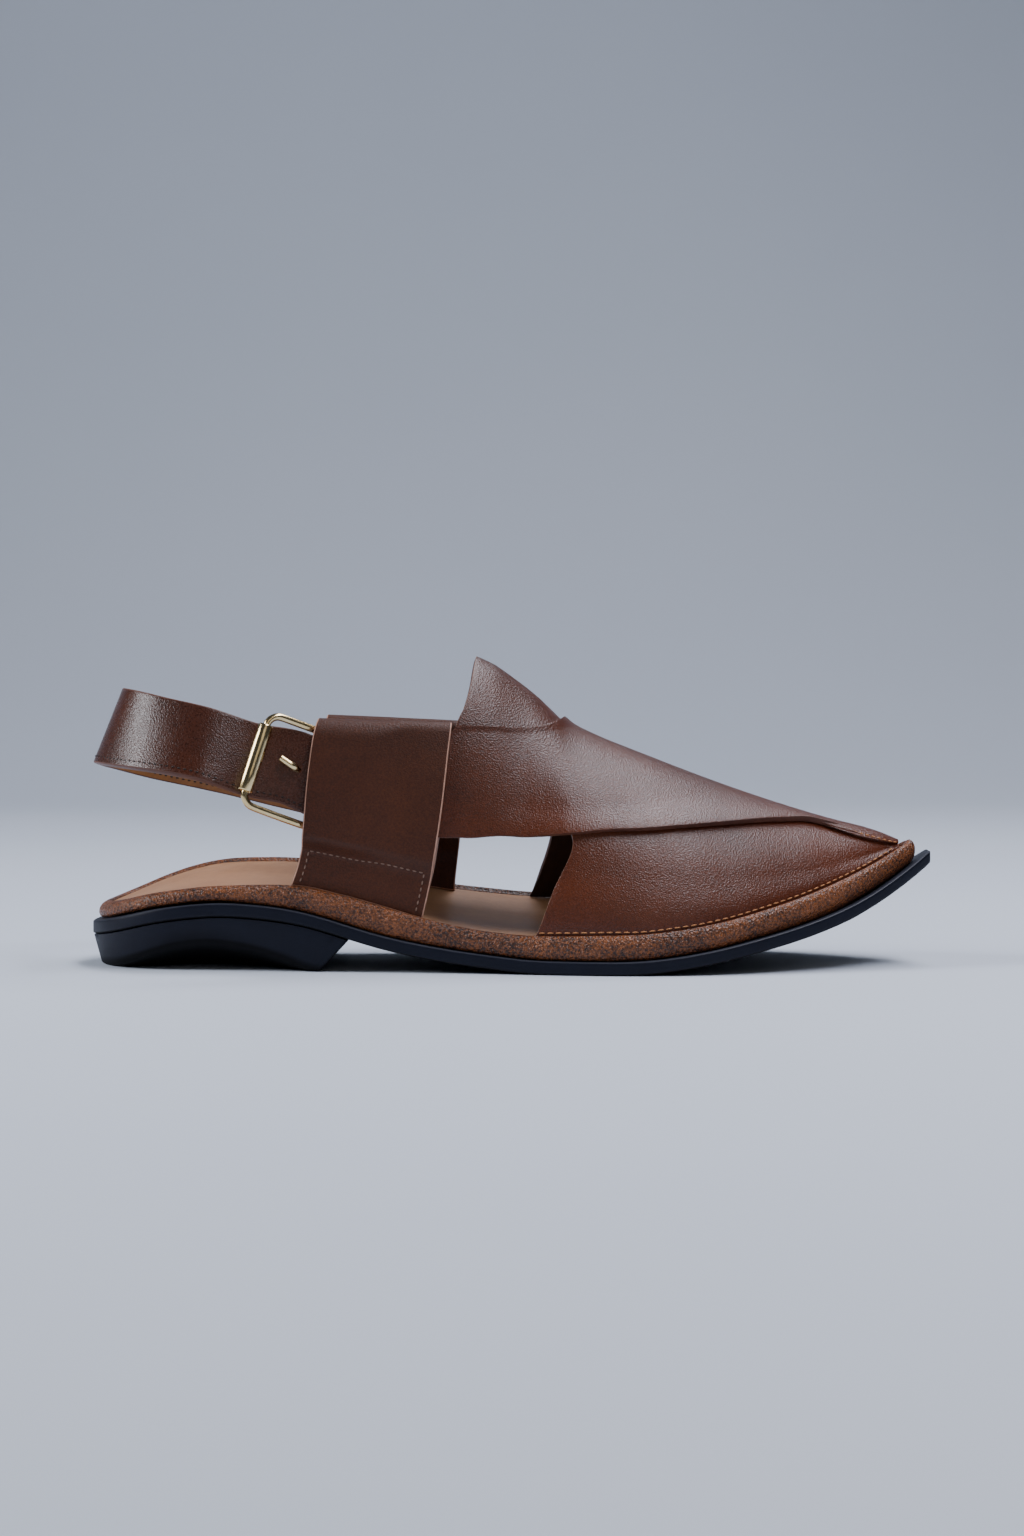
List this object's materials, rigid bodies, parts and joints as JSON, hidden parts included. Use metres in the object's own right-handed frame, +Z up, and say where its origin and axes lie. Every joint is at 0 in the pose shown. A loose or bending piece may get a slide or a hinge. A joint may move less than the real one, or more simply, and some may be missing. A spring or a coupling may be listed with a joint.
{
  "type": "peshawari chappal sandal",
  "caption": "Right-foot leather sandal with two crossed straps, a raised instep flap, a folded side loop on each side and a buckled heel strap, on a heeled sole with an upturned toe.",
  "frame": {"origin": "on the floor under the middle of the heel, where the heel's flat foot rests", "axes": "+X from the heel to the toe along the sole, +Y from the outer (little toe) side to the inner (big toe) side, +Z up"},
  "size_m": [0.296, 0.1031, 0.1081],
  "materials": {
    "heel": "satin black",
    "outsole": "satin black",
    "midsole": "grained brown",
    "insole": "smooth tan",
    "upper": "satin dark brown",
    "side_loop_lateral": "matt dark brown",
    "side_loop_medial": "matt dark brown",
    "heel_strap": "dark brown outside, tan lining",
    "buckle_frame": "pale gold, polished",
    "buckle_roller": "pale gold, polished",
    "buckle_prong": "pale gold, polished"
  },
  "bodies": {
    "root": {"heel": "heel", "outsole": "outsole", "midsole": "midsole", "insole": "insole", "upper": "upper", "side_loop_lateral": "side_loop_lateral", "side_loop_medial": "side_loop_medial", "heel_strap": "heel_strap", "buckle_frame": "buckle_frame", "buckle_roller": "buckle_roller", "buckle_prong": "buckle_prong"}
  },
  "joints": []
}
